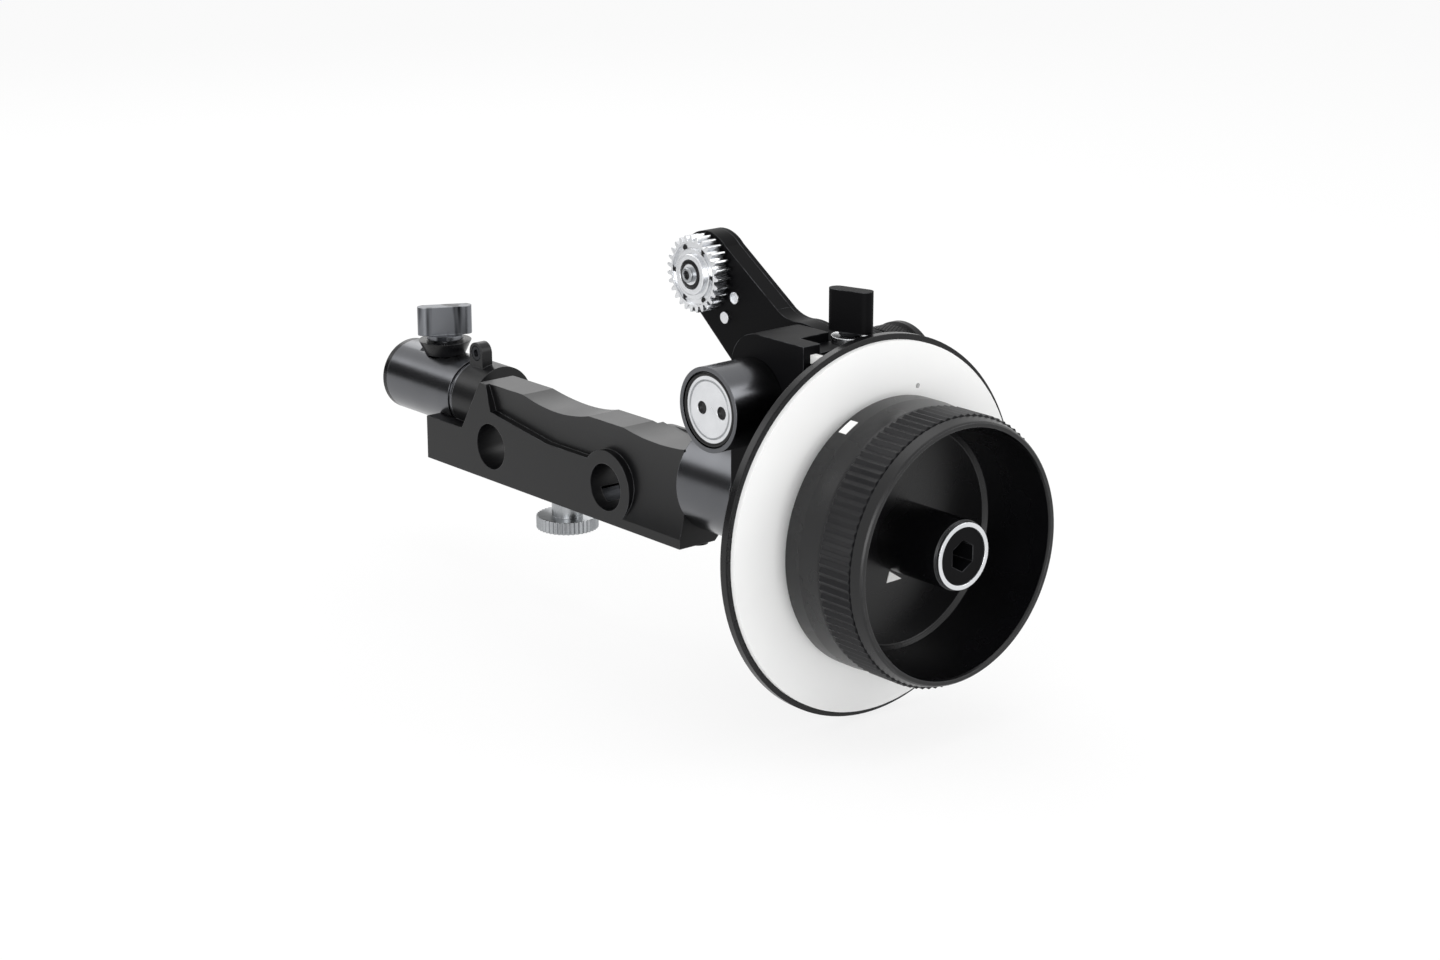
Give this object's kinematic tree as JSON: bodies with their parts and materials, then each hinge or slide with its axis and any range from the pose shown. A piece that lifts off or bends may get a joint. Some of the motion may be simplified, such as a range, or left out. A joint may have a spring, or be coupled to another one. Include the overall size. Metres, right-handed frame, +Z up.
{
  "type": "follow focus unit",
  "caption": "Rod-mounted follow focus unit: bridge bar, right-angle gearbox, geared swing arm with lens gear, cupped hand-wheel and blank marking disc.",
  "frame": {"origin": "centre of the rod bore nearest the hand-wheel, halfway through the bar's depth", "axes": "+X towards the hand-wheel's open cup, +Y along the support rods and away from the drive port, +Z up"},
  "size_m": [0.2672, 0.1126, 0.1321],
  "materials": {
    "black_anodised": "black anodised, satin",
    "black_knurled": "black anodised, fine knurl",
    "black_paint": "black paint, semi-gloss",
    "silver": "clear anodised, bright turned",
    "steel": "ground",
    "bronze": "bearing bronze, plain",
    "white_disc": "white writing surface, satin",
    "white_paint": "white paint fill"
  },
  "bodies": {
    "frame": {"bridge_bar": "black_anodised", "clamp_barrel": "black_anodised", "barrel_end_ring": "black_paint", "barrel_collar": "black_paint", "ear_screw": "steel", "neck_tube": "black_anodised", "neck_spigot": "steel", "neck_clamp_screws": "black_paint", "gearbox_housing": "black_anodised", "rear_cover": "black_anodised", "cover_screws": "steel", "port_snout": "black_anodised", "shaft_bushes": "bronze", "arm_bushes": "bronze", "wheel_bearings": "steel", "middle_pin": "steel", "lock_plate": "black_anodised", "lock_collar": "silver", "index_pointer": "white_paint"},
    "wheel": {"wheel_shaft": "steel", "bevel_pinion": "steel", "disc_backing": "black_anodised", "marking_disc": "white_disc", "handwheel": "black_anodised", "grip_ring": "black_knurled", "wheel_hub": "black_anodised", "hub_ring": "silver", "crank_socket": "black_paint", "retaining_screw": "steel", "wheel_marks": "white_paint"},
    "cross_shaft": {"lower_shaft": "steel", "lower_gear": "bronze", "bevel_gear": "steel"},
    "middle_gear": {"middle_gear": "bronze"},
    "drive": {"drive_shaft": "steel", "drive_port_disc": "silver", "drive_gear": "bronze", "rear_knob": "black_knurled"},
    "arm": {"arm_body": "black_anodised", "arm_cover": "black_anodised", "arm_screws": "silver", "arm_pins": "steel"},
    "sun": {"sun_gear": "steel"},
    "idler_a": {"arm_idler_a": "steel"},
    "idler_b": {"arm_idler_b": "steel"},
    "lens_drive": {"spindle_gear": "steel", "lens_spindle": "steel", "lens_gear": "silver"},
    "barrel_lever": {"barrel_lever": "black_anodised"},
    "barrel_shoe": {"barrel_clamp_shoe": "bronze"},
    "lock_lever": {"arm_lock_lever": "black_anodised"},
    "brake_shoe": {"arm_brake_shoe": "bronze"},
    "clamp_knob": {"rod_clamp_knob": "silver"},
    "clamp_shoe": {"rod_clamp_shoe": "steel"}
  },
  "joints": [
    {"name": "handwheel_spin", "type": "hinge", "parent": "frame", "child": "wheel", "pos_m": [0.1, 0.008, 0.009], "axis": [1, 0, 0], "continuous": true},
    {"name": "cross_shaft_spin", "type": "hinge", "parent": "frame", "child": "cross_shaft", "pos_m": [0.0771, 0.02, 0.009], "axis": [0, 1, 0], "continuous": true},
    {"name": "middle_gear_spin", "type": "hinge", "parent": "frame", "child": "middle_gear", "pos_m": [0.0771, 0.02, 0.027], "axis": [0, 1, 0], "continuous": true},
    {"name": "drive_spin", "type": "hinge", "parent": "frame", "child": "drive", "pos_m": [0.0771, 0, 0.045], "axis": [0, 1, 0], "continuous": true},
    {"name": "arm_swing", "type": "hinge", "parent": "frame", "child": "arm", "pos_m": [0.0771, 0.0075, 0.045], "axis": [0, -1, 0], "range_deg": [-24, 35]},
    {"name": "sun_spin", "type": "hinge", "parent": "arm", "child": "sun", "pos_m": [0.0771, 0.0075, 0.045], "axis": [0, 1, 0], "continuous": true},
    {"name": "idler_a_spin", "type": "hinge", "parent": "arm", "child": "idler_a", "pos_m": [0.06304, 0.0075, 0.0542], "axis": [0, 1, 0], "continuous": true},
    {"name": "idler_b_spin", "type": "hinge", "parent": "arm", "child": "idler_b", "pos_m": [0.04898, 0.0075, 0.0634], "axis": [0, 1, 0], "continuous": true},
    {"name": "lens_gear_spin", "type": "hinge", "parent": "arm", "child": "lens_drive", "pos_m": [0.03493, 0.0075, 0.0726], "axis": [0, 1, 0], "continuous": true},
    {"name": "barrel_lever_turn", "type": "hinge", "parent": "frame", "child": "barrel_lever", "pos_m": [-0.107, 0.008, 0.03], "axis": [0, 0, 1], "range_deg": [0, 120]},
    {"name": "barrel_shoe_slide", "type": "slide", "parent": "frame", "child": "barrel_shoe", "axis": [0, 0, -1], "range_m": [0, 0.0005]},
    {"name": "lock_lever_turn", "type": "hinge", "parent": "frame", "child": "lock_lever", "pos_m": [0.0937, 0.0075, 0.07], "axis": [0, 0, 1], "range_deg": [0, 90]},
    {"name": "brake_shoe_slide", "type": "slide", "parent": "frame", "child": "brake_shoe", "axis": [0, 0, -1], "range_m": [0, 0.0003]},
    {"name": "clamp_knob_turn", "type": "hinge", "parent": "frame", "child": "clamp_knob", "pos_m": [-0.03, 0, -0.019], "axis": [0, 0, 1], "range_deg": [0, 225]},
    {"name": "clamp_shoe_slide", "type": "slide", "parent": "frame", "child": "clamp_shoe", "axis": [0, 0, 1], "range_m": [0, 0.0005]}
  ],
  "couplings": [
    {"joint": "cross_shaft_spin", "follows": "handwheel_spin", "ratio": -1},
    {"joint": "middle_gear_spin", "follows": "handwheel_spin", "ratio": 1.1429},
    {"joint": "drive_spin", "follows": "handwheel_spin", "ratio": -1},
    {"joint": "sun_spin", "follows": "handwheel_spin", "ratio": -1},
    {"joint": "idler_a_spin", "follows": "handwheel_spin", "ratio": 1},
    {"joint": "idler_b_spin", "follows": "handwheel_spin", "ratio": -1},
    {"joint": "lens_gear_spin", "follows": "handwheel_spin", "ratio": 1},
    {"joint": "barrel_lever_turn", "follows": "barrel_shoe_slide", "rad_per_m": 4188.7},
    {"joint": "lock_lever_turn", "follows": "brake_shoe_slide", "rad_per_m": 5235.9},
    {"joint": "clamp_knob_turn", "follows": "clamp_shoe_slide", "rad_per_m": 7853.9}
  ]
}
